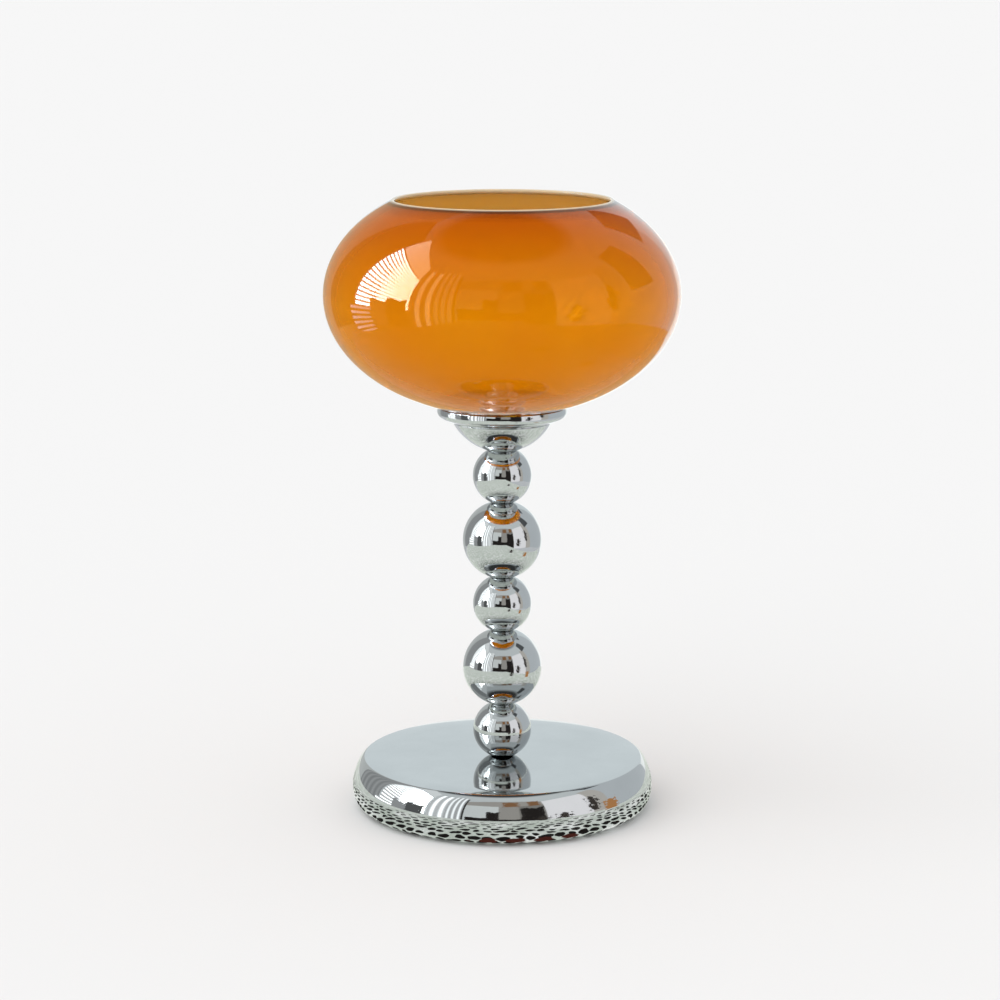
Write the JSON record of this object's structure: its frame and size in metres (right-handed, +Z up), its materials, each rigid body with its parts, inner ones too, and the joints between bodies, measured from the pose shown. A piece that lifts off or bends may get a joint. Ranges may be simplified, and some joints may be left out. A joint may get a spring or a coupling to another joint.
{
  "type": "tealight holder",
  "caption": "Tealight holder: oblate amber glass bowl standing loose in a chromed cup, on a stem of stacked chromed balls and a weighted round base.",
  "frame": {"origin": "centre of the base pad's underside, on the surface the holder stands on", "axes": "+Z up, along the stem rod; the holder is a solid of revolution about Z, so X and Y are free"},
  "size_m": [0.15, 0.15, 0.2613],
  "materials": {
    "chrome": "mirror-polished chrome plate on steel",
    "amber_glass": "glossy amber glass with a paler inside",
    "zinc_steel": "zinc-plated steel, satin",
    "cast_iron": "raw casting",
    "foam_pad": "matte closed-cell foam"
  },
  "bodies": {
    "stand": {"base_pad": "foam_pad", "base_shell": "chrome", "base_weight": "cast_iron", "base_washer": "zinc_steel", "base_lock_washer": "zinc_steel", "base_nut": "zinc_steel", "stem_rod": "zinc_steel", "small_ball_lower": "chrome", "large_ball_lower": "chrome", "small_ball_middle": "chrome", "large_ball_upper": "chrome", "small_ball_upper": "chrome", "cup_body": "chrome", "cup_rim": "chrome", "cup_washer": "zinc_steel", "cup_nut": "zinc_steel"},
    "bowl": {"glass_bowl": "amber_glass"}
  },
  "joints": [
    {"name": "bowl_lift", "type": "slide", "parent": "stand", "child": "bowl", "axis": [0, 0, 1], "range_m": [0, 0.08]}
  ]
}
